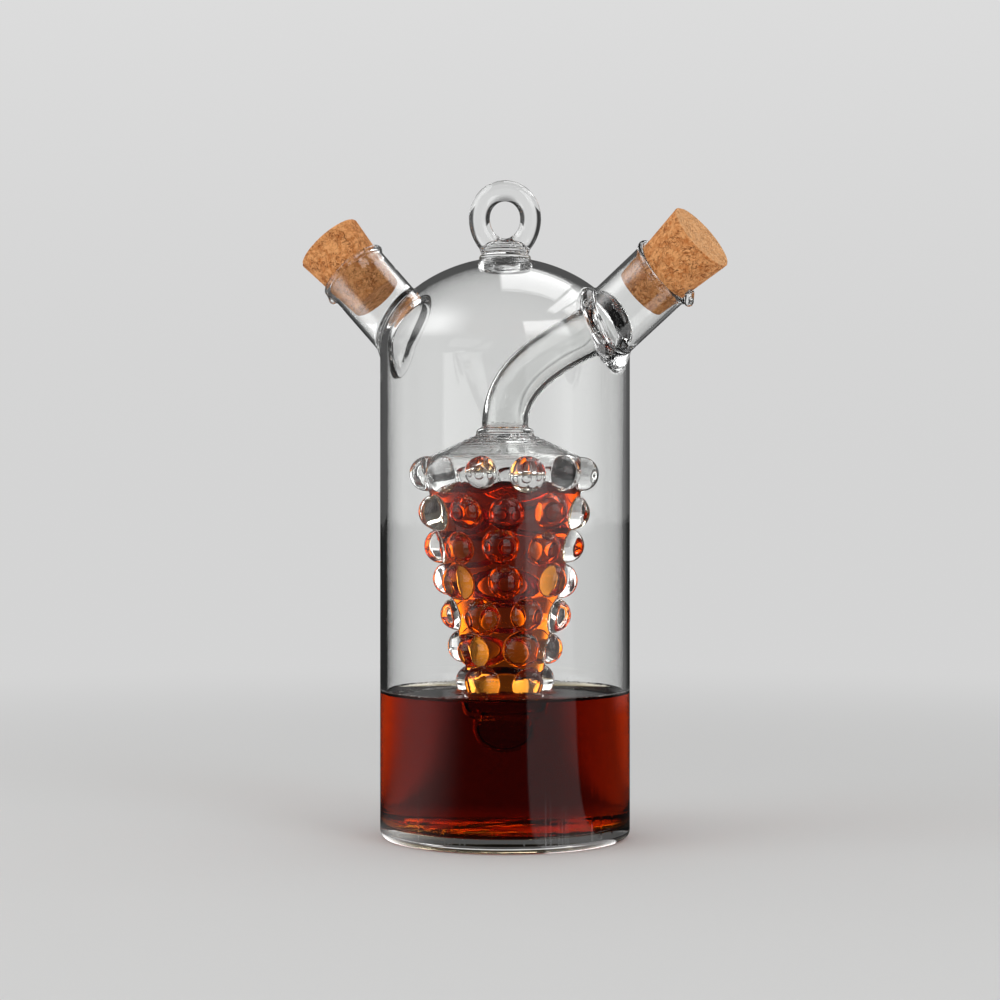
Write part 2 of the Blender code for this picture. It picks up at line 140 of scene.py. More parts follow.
class Spout:
    """A spout's own directions and its tube.

    The axis rises and turns by so many degrees from a root on the jar's axis. It crosses the jar's skin and
    ends at the rim. The bore opens over a depth below the rim, to take the cork. The rim is grown by so much
    and cut askew by a tilt. The nib is a drop between two places, each so far off the axis and above the rim,
    with a thickness.
    """

    LIP_INSET, MARGIN = 0.05, 14

    def __init__(self, elevation, azimuth, root, cross, rim, depth, grow, tilt, nib):
        e, a = math.radians(elevation), math.radians(azimuth)
        self.axis = np.array((math.cos(e) * math.cos(a), math.cos(e) * math.sin(a), math.sin(e)))
        side = np.cross((0, 0, 1), self.axis)
        self.side = side / np.linalg.norm(side)
        self.down = np.cross(self.side, self.axis)
        self.root, self.cross, self.rim, self.depth = root, cross, rim, depth
        self.grow, self.tilt, self.nib = grow, tilt, nib
        self.mouth = BORE_R + (depth + grow) * TAPER
        ends = [np.array((0, 0, root)) + self.axis * s for s in (cross - self.MARGIN, rim + grow)]
        self.box = np.minimum(*ends) - self.MARGIN, np.maximum(*ends) + self.MARGIN

    def local(self, x, y, z):
        h = z - self.root
        w = x * self.axis[0] + y * self.axis[1] + h * self.axis[2]
        u = x * self.down[0] + y * self.down[1] + h * self.down[2]
        v = x * self.side[0] + y * self.side[1] + h * self.side[2]
        return u, v, w

    def fields(self, x, y, z):
        """Place along, off and round the axis, the tube as a solid rod, and the bore, open past the rim."""
        u, v, w = self.local(x, y, z)
        rho = np.hypot(u, v)
        turn = np.arctan2(v, u)
        back = self.rim + self.grow - self.tilt * u - w
        near_rim = np.exp(-((np.maximum(back, 0) / RIM_LENGTH) ** 2))
        minor = (LIP_R - self.mouth) / 2 + self.LIP_INSET
        major = (LIP_R + self.mouth) / 2 - self.LIP_INSET
        body = rho - (NECK_R + RIM_SWELL * near_rim)
        rod = np.maximum(body, minor - back)
        lip = np.hypot(rho - major, back - minor) - minor
        rod = soft_min(rod, lip, 0.7)
        (u0, w0), (u1, w1), thick = self.nib
        du, dw = u1 - u0, w1 - w0
        along = np.clip(((u - u0) * du + (w - self.rim - w0) * dw) / (du * du + dw * dw), 0, 1)
        drop = np.sqrt((u - u0 - along * du) ** 2 + v * v + (w - self.rim - w0 - along * dw) ** 2) - thick
        rod = soft_min(rod, drop, 0.8)
        open_by = np.maximum(0, w - (self.rim - self.depth)) * TAPER
        bore = rho - (BORE_R + open_by)
        return w, rho, turn, rod, bore


LEFT = Spout(48.0, 164.6, root=117.9, cross=51.677, rim=72.677, depth=5.0, grow=0.0, tilt=0.0,
             nib=((9.9, -1.5), (10.6, -2.9), 1.45))
RIGHT = Spout(RIGHT_UP, RIGHT_ROUND, root=124.7, cross=46.109, rim=67.109, depth=1.2, grow=1.5, tilt=0.09,
              nib=((10.0, 3.0), (11.9, 1.2), 1.4))
# Places along the spouts from which the tubes, the left bore and the roll inside the left hole are there
LEFT_START, LEFT_BORE_START, ROLL_START, RIGHT_START = 34, 38, 30, 30


def pour_plan():
    """Four points of the pour tube's middle line, a Bezier curve: distance from the jar's axis and height."""
    up, slope = math.radians(RIGHT_UP), math.radians(POUR_SLOPE)
    run = RIGHT.cross * math.cos(up)
    top = RIGHT.root + RIGHT.cross * math.sin(up)
    leave = run * 0.60
    foot = VESSEL_TOP + POUR_FOOT
    return np.array((
        (run, top),
        (run - leave * math.cos(slope), top - leave * math.sin(slope)),
        (0, foot + (top - foot) * 0.5),
        (0, foot),
    ))


PLAN = pour_plan()
LEVEL = np.array((math.cos(math.radians(RIGHT_ROUND)), math.sin(math.radians(RIGHT_ROUND))))


def bezier(t):
    """The middle line's point, its first and its second derivative."""
    s = 1 - t
    p = [s**3, 3 * t * s * s, 3 * t * t * s, t**3]
    d = [-3 * s * s, 3 * s * s - 6 * t * s, 6 * t * s - 3 * t * t, 3 * t * t]
    c = [6 * s, 6 * t - 12 * s, 6 * s - 12 * t, 6 * t]
    return [tuple(sum(w * q for w, q in zip(ws, PLAN[:, i])) for i in (0, 1)) for ws in (p, d, c)]


SAMPLES_T = np.linspace(-0.12, 1.0, 60)
SAMPLES = np.array(bezier(SAMPLES_T)[0]).T


def along_pour(x, y, z):
    """Distance from the pour tube's middle line, and place along it, 0 at the seal and 1 at the vessel."""
    s = x * LEVEL[0] + y * LEVEL[1]
    q = -x * LEVEL[1] + y * LEVEL[0]
    shape = s.shape
    s, q, h = s.ravel(), q.ravel(), np.broadcast_to(z, shape).ravel()
    near = ((s[:, None] - SAMPLES[:, 0]) ** 2 + (h[:, None] - SAMPLES[:, 1]) ** 2).argmin(1)
    t = SAMPLES_T[near]
    for _ in range(4):
        (px, pz), (dx, dz), (cx, cz) = bezier(t)
        ex, ez = px - s, pz - h
        f = ex * dx + ez * dz
        g = dx * dx + dz * dz + ex * cx + ez * cz
        t = np.clip(t - f / np.where(np.abs(g) < 1, 1, g), -0.2, 1.0)
    px, pz = bezier(t)[0]
    d = np.sqrt((px - s) ** 2 + (pz - h) ** 2 + q * q)
    return d.reshape(shape), t.reshape(shape)


def pour_tube(x, y, z, r, skin):
    """The pour tube's outside and its bore, flared at the seal and straight down into the vessel's neck."""
    d, t = along_pour(x, y, z)
    walked = np.maximum(t, 0) * POUR_LENGTH
    tube = d - (POUR_R + FLARE * np.exp(-((walked / FLARE_LENGTH) ** 2)))
    tube = np.maximum(tube, skin + 0.6)
    bore = d - (POUR_BORE + BORE_FLARE * np.exp(-((walked / BORE_FLARE_LENGTH) ** 2)))
    bore = np.maximum(bore, skin - 4.0)
    ends = np.maximum(z - STRAIGHT_TOP, STRAIGHT_LOW - z)
    return np.minimum(tube, np.maximum(r - POUR_R, ends)), np.minimum(bore, np.maximum(r - POUR_BORE, ends))


def cone_radius(z):
    return FOOT_R + CONE * (z - FOOT_Z)


def berries():
    """Place and radius of each berry, a little uneven in size and height."""
    found = []
    for height, front, back in zip(ROWS, FRONT, BACK):
        gap = (360 + front[0] - front[-1]) / (back + 1)
        for angle in list(front) + [front[-1] + gap * (k + 1) for k in range(back)]:
            i = len(found)
            size = BERRY_R + 0.3 * math.sin(i * 2.4) + 0.12 * math.sin(i * 5.1 + 1)
            lift = 0.35 * math.sin(i * 3.7 + 0.5)
            turn = math.radians(angle)
            radius = cone_radius(height) - BERRY_SINK
            found.append((math.sin(turn) * radius, -math.cos(turn) * radius, height + lift, size))
    return np.array(found)


BERRIES = berries()


def with_berries(d, x, y, z, lo, hi):
    """The form with those berries that points between lo and hi can be near."""
    reach = BERRIES[:, 3:] + BERRY_REACH
    near = np.all(BERRIES[:, :3] + reach > lo, axis=1) & np.all(BERRIES[:, :3] - reach < hi, axis=1)
    for bx, by, bz, size in BERRIES[near]:
        ball = np.sqrt((x - bx) ** 2 + (y - by) ** 2 + (z - bz) ** 2) - size
        d = soft_min(d, ball, BERRY_MELT)
    return d


def above_shoulder(r, z):
    return ((z - SLOPE_Z) * SLOPE_RUN + (r - SLOPE_R) * SLOPE_FALL) / math.hypot(SLOPE_RUN, SLOPE_FALL)


def vessel_form(r, z, shoulder, melt, inset):
    """The vessel's cone and tip under a shoulder, inset by a wall."""
    cone = (r - cone_radius(z)) * CONE_COS + inset
    d = soft_max(cone, shoulder, melt)
    d = soft_max(d, FOOT_Z - 1 + inset - z, 1.0)
    tip = np.sqrt(r * r + (z - TIP_Z) ** 2) - (TIP_R - inset)
    return soft_min(d, tip, 3.0)


def vessel_outside(x, y, z, r):
    """The vessel without its berries, with fine folds on the shoulder near the neck."""
    window = np.exp(-(((r - 11.5) / 3.5) ** 2))
    turn = np.arctan2(y, x)
    folds = window * 0.13 * np.sin(r * 3.6 + 0.8 * np.sin(turn * 3 + 1) + 0.5 * np.sin(turn * 5))
    return vessel_form(r, z, above_shoulder(r, z) + folds, 4.0, 0.0)


def vessel_inside(r, z):
    return vessel_form(r, z, above_shoulder(r, z) + VESSEL_WALL, 3.4, VESSEL_WALL)


def ring_distance(x, y, z):
    """Distance to the ring's egg-shaped middle line, and the height share along it."""
    h = z - RING_Z
    t = np.arctan2(h / RING_H, x / RING_W)
    for _ in range(5):
        c, s = np.cos(t), np.sin(t)
        egg = 1 + EGG * s
        px, pz = RING_W * c * egg, RING_H * s
        dx, dz = -RING_W * s * egg + RING_W * c * EGG * c, RING_H * c
        ex, ez = px - x, pz - h
        f = ex * dx + ez * dz
        g = dx * dx + dz * dz + ex * (-px) + ez * (-pz)
        t = t - np.clip(f / np.maximum(g, 20.0), -0.3, 0.3)
    c, s = np.cos(t), np.sin(t)
    px, pz = RING_W * c * (1 + EGG * s), RING_H * s
    return np.sqrt((px - x) ** 2 + (pz - h) ** 2 + y * y), s


# Boxes that hold a form, beyond which it is left out, and the margin that is kept round them
POUR_BOX = np.array((-10, -30, 112.0)), np.array((46, 12, 168.0))
VESSEL_BOX = np.array((-31, -31, 22.0)), np.array((31, 31, 128.0))
RING_BOX = np.array((-14, -10, 164.0)), np.array((14, 10, 200.0))
BOX_MARGIN = 4.0


def touches(lo, hi, box):
    """True where points between lo and hi can lie in a box or in its margin."""
    low, high = box
    return bool(np.all(lo < high + BOX_MARGIN) and np.all(hi > low - BOX_MARGIN))


def limits(x, y, z):
    return np.array((x.min(), y.min(), z.min())), np.array((x.max(), y.max(), z.max()))


def add_ring(out, void, x, y, z, r):
    """The jar's outside with the hanging ring on its foot, and its inside with the bulge below them."""
    d, s = ring_distance(x, y, z)
    loop = d - (ROD_R + ROD_SWELL * np.maximum(0, -s) ** 2)
    stub = round_max(r - STUB_R, np.abs(z - STUB_Z) - STUB_HALF, 1.0)
    for bead_r, bead_z, thick in STUB_BEADS:
        stub = soft_min(stub, np.hypot(r - bead_r, z - bead_z) - thick, 0.5)
    loop = soft_min(loop, stub, 1.2)
    bulge = np.sqrt((r / BULGE_R) ** 2 + ((z - BULGE_Z) / BULGE_HALF) ** 2)
    bulge = (bulge - 1) * BULGE_HALF
    return soft_min(out, loop, 0.9), soft_max(void, -bulge, 1.0)


def add_left_spout(out, void, x, y, z, skin, inner_skin):
    """The jar's outside with the left spout and its weld, and its inside with a rolled hole to the bore."""
    w, rho, turn, rod, bore = LEFT.fields(x, y, z)
    out = soft_min(out, np.maximum(rod, LEFT_START - w), 2.4)
    bead = np.hypot(rho - NECK_R, skin) - LEFT_WELD
    out = soft_min(out, beyond(bead, w, LEFT_START), 1.4)
    roll = np.hypot(rho - ROLL_R, inner_skin + ROLL_DEPTH) - (ROLL + 0.15 * np.sin(turn * 3 + 1))
    void = soft_max(void, -beyond(roll, w, ROLL_START), 1.2)
    return out, soft_min(void, np.maximum(bore, LEFT_BORE_START - w), 1.0)


def add_right_spout(out, x, y, z, skin):
    """The jar's outside with the right spout and its weld, and the well in it, with a swirled floor."""
    w, rho, turn, rod, bore = RIGHT.fields(x, y, z)
    out = soft_min(out, np.maximum(rod, RIGHT_START - w), 2.0)
    thick = RIGHT_WELD + 0.16 * np.sin(turn * 3 + 0.6) + 0.1 * np.sin(turn * 5)
    bead = np.hypot(rho - NECK_R - 0.1, skin) - thick
    out = soft_min(out, beyond(bead, w, RIGHT_START), 1.0)
    swirl = 0.5 * np.sin(turn * 2 + rho * 0.5) + 0.25 * np.sin(turn * 5 + 2)
    floor = 1.2 + swirl * np.clip((rho - 4) / 5, 0, 1) - skin
    well = soft_max(bore, floor, 2.2)
    return out, np.maximum(well, RIGHT_START - w)


def glass(x, y, z):
    """Below zero in the glass, all of it one fused piece."""
    lo, hi = limits(x, y, z)
    r = np.hypot(x, y)
    skin, inner_skin = dome(r, z, 0), dome(r, z, -JAR_WALL)
    out = round_max(skin, -z, FOOT_ROUND)
    void = round_max(inner_skin, JAR_BASE - z, FLOOR_ROUND)
    right, pour = touches(lo, hi, RIGHT.box), touches(lo, hi, POUR_BOX)
    inner = chamber = None
    if touches(lo, hi, RING_BOX):
        out, void = add_ring(out, void, x, y, z, r)
    if touches(lo, hi, LEFT.box):
        out, void = add_left_spout(out, void, x, y, z, skin, inner_skin)
    if pour:
        inner, chamber = pour_tube(x, y, z, r, skin)
    if touches(lo, hi, VESSEL_BOX):
        grape = with_berries(vessel_outside(x, y, z, r), x, y, z, lo, hi)
        if hi[2] > 112:
            grape = soft_min(grape, np.hypot(r - COLLAR_R, z - COLLAR_Z) - COLLAR, 1.0)
        inner = join(inner, grape, 1.3)
        chamber = join(chamber, vessel_inside(r, z), 1.0)
    if right:
        out, well = add_right_spout(out, x, y, z, skin)
        chamber = join(chamber, well, 1.6)
    if inner is not None:
        seal = pour and (right or hi[2] > 140)
        void = soft_max(void, -inner, 1.4) if seal else np.maximum(void, -inner)
    body = np.maximum(out, -void)
    return body if chamber is None else np.maximum(body, -chamber)


def filled(hollow, z, level, climb):
    """Liquor in a hollow up to a level that it climbs from, with the distance made true for the slant."""
    return np.maximum(hollow - OVERLAP, (z - level - climb) * 0.8)


def meniscus(wall, height):
    return height * np.exp(np.minimum(wall, 0))


def jar_liquor(x, y, z):
    r = np.hypot(x, y)
    lo, hi = limits(x, y, z)
    void = round_max(dome(r, z, -JAR_WALL), JAR_BASE - z, FLOOR_ROUND)
    grape = with_berries(vessel_outside(x, y, z, r), x, y, z, lo, hi)
    climb = meniscus(void, JAR_CLIMB) + meniscus(-grape, BERRY_CLIMB)
    return np.maximum(filled(void, z, OUTER_LEVEL, climb), -(grape + OVERLAP))


def vessel_liquor(x, y, z):
    hollow = vessel_inside(np.hypot(x, y), z)
    return filled(hollow, z, INNER_LEVEL, meniscus(hollow, VESSEL_CLIMB))


# Meshes from distances


def sample(field, low, high, block=16):
    """The field's values on a grid, worked out only in the blocks where the surface can be."""
    low = np.array(low, float)
    counts = np.ceil((np.array(high) - low) / GRID).astype(int) + 1
    axes = [low[i] + GRID * np.arange(counts[i]) for i in range(3)]
    starts = [np.arange(0, c, block) for c in counts]
    middles = [low[i] + GRID * np.minimum(starts[i] + block / 2, counts[i] - 1) for i in range(3)]
    grid = np.meshgrid(*middles, indexing="ij")
    centre = field(*(g.ravel() for g in grid)).reshape(grid[0].shape)
    values = np.empty(counts, np.float32)
    reach = GRID * block * math.sqrt(3) / 2 * 1.25 + 1
    for i, a in enumerate(starts[0]):
        for j, b in enumerate(starts[1]):
            for k, c in enumerate(starts[2]):
                part = np.s_[a:a + block, b:b + block, c:c + block]
                if abs(centre[i, j, k]) > reach:
                    values[part] = centre[i, j, k]
                else:
                    values[part] = field(*np.meshgrid(*(axes[m][part[m]] for m in range(3)), indexing="ij"))
    return values, low


def surface_net(values, low):
    """Vertices and quads of the zero surface, one vertex in each mixed cell."""
    inside = values < 0
    total = np.zeros([c - 1 for c in values.shape], np.int8)
    corners = [(i, j, k) for i in (0, 1) for j in (0, 1) for k in (0, 1)]
    for i, j, k in corners:
        total += inside[i:i + total.shape[0], j:j + total.shape[1], k:k + total.shape[2]]
    cells = np.argwhere((total > 0) & (total < 8))
    index = np.full(total.shape, -1, np.int32)
    index[tuple(cells.T)] = np.arange(len(cells))
    at = {c: values[tuple((cells + c).T)].astype(float) for c in corners}
    place = np.zeros((len(cells), 3))
    hits = np.zeros(len(cells))
    for c in corners:
        for axis in range(3):
            if c[axis]:
                continue
            e = list(c)
            e[axis] = 1
            v0, v1 = at[c], at[tuple(e)]
            crossed = (v0 < 0) != (v1 < 0)
            t = np.where(crossed, v0 / np.where(crossed, v0 - v1, 1), 0)
            for k in range(3):
                place[:, k] += np.where(crossed, c[k] + (t if k == axis else 0), 0)
            hits += crossed
    points = low + GRID * (cells + place / hits[:, None])
    quads = []
    for axis in range(3):
        a, b = [k for k in range(3) if k != axis]
        first = [slice(None)] * 3
        second = [slice(None)] * 3
        first[axis], second[axis] = slice(0, -1), slice(1, None)
        one, two = inside[tuple(first)], inside[tuple(second)]
        for flip, mask in ((False, one & ~two), (True, two & ~one)):
            e = np.argwhere(mask)
            e = e[(e[:, a] > 0) & (e[:, b] > 0) & (e[:, a] < total.shape[a]) & (e[:, b] < total.shape[b])]
            loop = []
            for da, db in ((-1, -1), (0, -1), (0, 0), (-1, 0)):
                c = e.copy()
                c[:, a] += da
                c[:, b] += db
                loop.append(index[tuple(c.T)])
            quad = np.stack(loop, 1)
            quads.append(quad[:, ::-1] if flip ^ (axis == 1) else quad)
    return points, np.concatenate(quads)


def close_groups(points, cell=10.0):
    """Numbers of the points in groups that lie close together, so that a field leaves out what is far."""
    key = np.floor(points / cell).astype(np.int64)
    key -= key.min(0)
    key = (key[:, 0] * 1000 + key[:, 1]) * 1000 + key[:, 2]
    order = np.argsort(key, kind="stable")
    return np.split(order, np.flatnonzero(np.diff(key[order])) + 1)


def by_group(field, points):
    """The field at points all over the object."""
    found = np.empty(len(points))
    for group in close_groups(points):
        found[group] = field(*points[group].T)
    return found


def slopes(field, p, h=0.02):
    """The field and its gradient at points that lie close together."""
    sides = [side for axis in np.eye(3) * h for side in (axis, -axis)]
    v = field(*np.concatenate([p] + [p + side for side in sides]).T).reshape(7, len(p))
    return v[0], np.stack([(v[1] - v[2]), (v[3] - v[4]), (v[5] - v[6])], 1) / (2 * h)


def settle(field, points, rounds, longest=0.5):
    """Moves points onto the surface and returns them with the outward normals."""
    moved = points.copy()
    normals = np.zeros_like(points)
    for group in close_groups(points):
        p = moved[group]
        for _ in range(rounds):
            f, g = slopes(field, p)
            move = g * (f / np.maximum((g * g).sum(1), 0.05))[:, None]
            length = np.linalg.norm(move, axis=1)
            p = p - move * np.minimum(1, longest / np.maximum(length, 1e-9))[:, None]
        _, g = slopes(field, p)
        moved[group] = p
        normals[group] = g / np.maximum(np.linalg.norm(g, axis=1), 1e-9)[:, None]
    return moved, normals


def places(items, key):
    """Where a mesh's vertices or the middles of its faces are, in millimetres."""
    found = np.empty(len(items) * 3)
    items.foreach_get(key, found)
    return found.reshape(-1, 3) * PER_METRE


def link(name, data):
    """A new object in the scene with a mesh, a lamp or a lens."""
    made = bpy.data.objects.new(name, data)
    scene.collection.objects.link(made)
    return made


def cut_level(mesh, height):
    """Cuts the faces along a level line, so that a long face lies in the liquor or above it."""
    made = bmesh.new()
    made.from_mesh(mesh)
    parts = made.verts[:] + made.edges[:] + made.faces[:]
    bmesh.ops.bisect_plane(made, geom=parts, dist=0.00002, plane_co=(0, 0, height * MM), plane_no=(0, 0, 1))
    bmesh.ops.triangulate(made, faces=[f for f in made.faces if len(f.verts) > 4])
    made.to_mesh(mesh)
    made.free()


def finish_mesh(name, field, low, high, limit, levels=()):
    """A smooth closed mesh of a field's surface, thinned to a number of triangles where it is plain."""
    points, quads = surface_net(*sample(field, low, high))
    points, _ = settle(field, points, 1)
    mesh = bpy.data.meshes.new(name)
    mesh.from_pydata((points * MM).tolist(), [], quads.tolist())
    mesh.update()
    made = link(name, mesh)
    triangles = 2 * len(quads)
    if triangles > limit:
        thin = made.modifiers.new("thin", "DECIMATE")
        thin.ratio = limit / triangles
        graph = bpy.context.evaluated_depsgraph_get()
        thinned = bpy.data.meshes.new_from_object(made.evaluated_get(graph))
        made.modifiers.clear()
        made.data = thinned
        bpy.data.meshes.remove(mesh)
        mesh = thinned
    for height in levels:
        cut_level(mesh, height)
    points, normals = settle(field, places(mesh.vertices, "co"), 2)
    mesh.vertices.foreach_set("co", (points * MM).ravel())
    mesh.shade_smooth()
    mesh.update()
    mesh.normals_split_custom_set_from_vertices(normals.tolist())
    print(name, "faces", len(mesh.polygons), "from triangles", triangles)
    return made


def mark_wet(mesh):
    """Gives the glass faces that liquor touches the second material."""
    p = places(mesh.polygons, "center")
    wet = (by_group(jar_liquor, p) < -0.05) | (by_group(vessel_liquor, p) < -0.05)
    mesh.polygons.foreach_set("material_index", wet.astype(np.int32))


def mark_points(mesh, name, values):
    mesh.attributes.new(name, "FLOAT", "POINT").data.foreach_set("value", values)


def mark_free(mesh):
    """Marks the points of a liquor's free surface, which no glass touches."""
    free = by_group(glass, places(mesh.vertices, "co")) > -0.02
    mark_points(mesh, "free", free.astype(np.float32))


def ring_points(outline, sides):
    """A ring of points for each radius and height."""
    turns = [2 * math.pi * k / sides for k in range(sides)]
    return [(r * math.cos(a), r * math.sin(a), h) for r, h in outline for a in turns]


def ring_faces(rings, sides):
    """Faces from the middle point, number 0, to the first ring and on from each ring to the next."""
    faces = [(0, 1 + k, 1 + (k + 1) % sides) for k in range(sides)]
    for row in range(rings - 1):
        a, b = 1 + row * sides, 1 + (row + 1) * sides
        faces += [(a + k, b + k, b + (k + 1) % sides, a + (k + 1) % sides) for k in range(sides)]
    return faces


# Corks: radius at the seat, sides, rings across the top, down the side and across the foot, and round edges
SEAT, CORK_SIDES, TOP_RINGS, SIDE_RINGS, FOOT_RINGS = 9.0, 150, 16, 58, 12
ROUNDED, ROUND_TURNS = 0.22, (0.0, 0.4, 0.8, 1.2, math.pi / 2)
# Wear: depth of the grain, the pits and the worn top edge, how far that edge reaches, and the deepest cut
GRAIN_CUT, PIT_CUT, EDGE_CUT, EDGE_REACH, DEEPEST = 0.06, 0.9, 0.35, 0.9, 0.5


def cork_outline(out_length, in_length, depth, top, foot):
    outline = [(top * k / TOP_RINGS, out_length) for k in range(1, TOP_RINGS)]
    outline += [(top - ROUNDED * (1 - math.sin(a)), out_length - ROUNDED * (1 - math.cos(a)))
                for a in ROUND_TURNS]
    for k in range(1, SIDE_RINGS):
        w = out_length - ROUNDED + (ROUNDED * 2 - out_length - in_length) * k / SIDE_RINGS
        outline.append((SEAT + TAPER * (w + depth), w))
    outline += [(foot - ROUNDED * (1 - math.cos(a)), -in_length + ROUNDED * (1 - math.sin(a)))
                for a in ROUND_TURNS]
    return outline + [(foot * k / FOOT_RINGS, -in_length) for k in range(FOOT_RINGS - 1, 0, -1)]


def cork(name, spout, out_length, in_length, seed, slope):
    """A tapered cork with worn edges and small pits, made with its axis upright. A slope tilts its top."""
    top = SEAT + TAPER * (out_length + spout.depth)
    foot = SEAT - TAPER * (in_length - spout.depth)
    outline = cork_outline(out_length, in_length, spout.depth, top, foot)
    points = [(0, 0, out_length)] + ring_points(outline, CORK_SIDES) + [(0, 0, -in_length)]
    faces = ring_faces(len(outline), CORK_SIDES)
    last = 1 + (len(outline) - 1) * CORK_SIDES
    faces += [(last + k, len(points) - 1, last + (k + 1) % CORK_SIDES) for k in range(CORK_SIDES)]
    worn = []
    for x, y, z in points:
        p = Vector((x, y, z))
        r = math.hypot(x, y)
        grain = noise.noise(p * 1.1 + Vector((seed, 0, 0)))
        pit = max(0.0, noise.noise(p * 0.75 + Vector((0, seed, 5))) - 0.38)
        cut = GRAIN_CUT * max(0, grain) + PIT_CUT * pit
        edge = max(0.0, 1 - abs(z - out_length) / EDGE_REACH) * max(0.0, 1 - abs(r - top) / EDGE_REACH)
        cut += edge * EDGE_CUT * max(0.0, noise.noise(p * 0.5 + Vector((seed, seed, 0))))
        cut = min(cut, DEEPEST)
        flat_top = out_length - abs(z) < 0.01 and r < top - ROUNDED
        flat_foot = z < -in_length + 0.01 and r < foot - ROUNDED
        if flat_top or flat_foot:
            p = p - Vector((0, 0, math.copysign(cut * 0.6, z)))
        else:
            p = p - Vector((x, y, 0)) / max(r, 0.001) * cut
        worn.append(p + Vector((0, 0, slope * x * max(0.0, z / out_length))))
    mesh = bpy.data.meshes.new(name)
    turn = Matrix([list(spout.down), list(spout.side * -1), list(spout.axis)]).transposed()
    rim = Vector(np.array((0, 0, spout.root)) + spout.axis * spout.rim)
    mesh.from_pydata([tuple((rim + turn @ p) * MM) for p in worn], [], faces)
    mesh.shade_smooth()
    mark_points(mesh, "end", [float(z > out_length - 0.01) for _, _, z in points])
    return link(name, mesh)


# Looks


class Nodes:
    """Short calls for building a node tree."""

    def __init__(self, owner):
        owner.use_nodes = True
        self.tree = owner.node_tree
        self.tree.nodes.clear()

    def add(self, kind, inputs=None, **settings):
        """A new node. An input is a socket to link or a plain value."""
        node = self.tree.nodes.new("ShaderNode" + kind)
        for key, value in settings.items():
            setattr(node, key, value)
        for key, value in (inputs or {}).items():
            if isinstance(value, bpy.types.NodeSocket):
                self.tree.links.new(value, node.inputs[key])
            else:
                node.inputs[key].default_value = value
        return node

    def out(self, kind, inputs=None, **settings):
        """The first output of a new node."""
        return self.add(kind, inputs, **settings).outputs[0]

    def math(self, operation, value, *others):
        """An operation on one value, or on two or more, one after the other."""
        for other in others or (0.0,):
            value = self.out("Math", {0: value, 1: other}, operation=operation)
        return value

    def times(self, *values):
        return self.math("MULTIPLY", *values)

    def plus(self, *values):
        return self.math("ADD", *values)

    def minus(self, *values):
        return self.math("SUBTRACT", *values)

    def noise(self, vector, scale, detail=2.0, rough=0.5, distortion=0.0):
        return self.add("TexNoise", {
            "Vector": vector, "Scale": scale, "Detail": detail, "Roughness": rough, "Distortion": distortion,
        }).outputs["Fac"]

    def ramp(self, value, low, high, start=0.0, end=1.0):
        """A smooth run from start to end, while the value goes from low to high."""
        inputs = {0: value, 1: low, 2: high, 3: start, 4: end}
        return self.out("MapRange", inputs, interpolation_type="SMOOTHSTEP")

    def band(self, value, rise, fall):
        """One between a rise and a fall, each from one value to another, and zero outside them."""
        return self.times(self.ramp(value, *rise), self.ramp(value, *fall, 1.0, 0.0))

    def blend(self, share, a, b):
        return self.add("Mix", {0: share, 6: a, 7: b}, data_type="RGBA").outputs[2]

    def mix(self, share, a, b):
        return self.out("MixShader", {0: share, 1: a, 2: b})

    def glow(self, colour, strength=1.0):
        return self.out("Emission", {"Color": colour, "Strength": strength})

    def bump(self, strength, distance, height):
        return self.out("Bump", {"Strength": strength, "Distance": distance, "Height": height})

    def clear(self, colour, rough, index, bump, shadow):
        """A surface that bends the light that goes through. For shadows it only tints the light."""
        bent = self.out("BsdfPrincipled", {
            "Base Color": colour, "Roughness": rough, "IOR": index, "Transmission Weight": 1.0,
            "Normal": bump,
        })
        plain = self.out("BsdfTransparent", {"Color": shadow})
        return self.mix(self.add("LightPath").outputs["Is Shadow Ray"], bent, plain)


def grey(level):
    return level, level, level, 1


def clear_glass(name, index):
    """Clear glass against air, or against liquor when its index is the ratio of the two."""
    made = bpy.data.materials.new(name)
    n = Nodes(made)
    place = n.add("TexCoord").outputs["Object"]
    wave = n.noise(place, 55.0, 1.0)
    fine = n.noise(place, 420.0, 2.0)
    bump = n.bump(0.35, 0.0002, n.plus(wave, n.times(fine, 0.02)))
    haze = n.ramp(n.noise(place, 140.0, 4.0, 0.6), 0.5, 0.8, 0.0, 0.02)
    surface = n.clear((0.985, 0.990, 0.985, 1), haze, index, bump, (0.95, 0.96, 0.955, 1))
    n.add("OutputMaterial", {"Surface": surface})
    return made


def liquor(name, red, green, blue):
    """Liquor that takes so much of each colour a metre, blue the most. It bends light at its free surface
    only, since the wet glass does that for the rest."""
    made = bpy.data.materials.new(name)
    n = Nodes(made)
    place = n.add("TexCoord").outputs["Object"]
    bump = n.bump(0.2, 0.0001, n.noise(place, 60.0, 1.0))
    free = n.add("Attribute", attribute_name="free").outputs["Fac"]
    index = n.ramp(free, 0.0, 1.0, 1.0, LIQUOR_INDEX)
    surface = n.clear((1.0, 0.99, 0.97, 1), 0.0, index, bump, (1, 0.98, 0.95, 1))
    body = n.out("VolumeAbsorption", {"Color": (1 - red / blue, 1 - green / blue, 0, 1), "Density": blue})
    n.add("OutputMaterial", {"Surface": surface, "Volume": body})
    return made


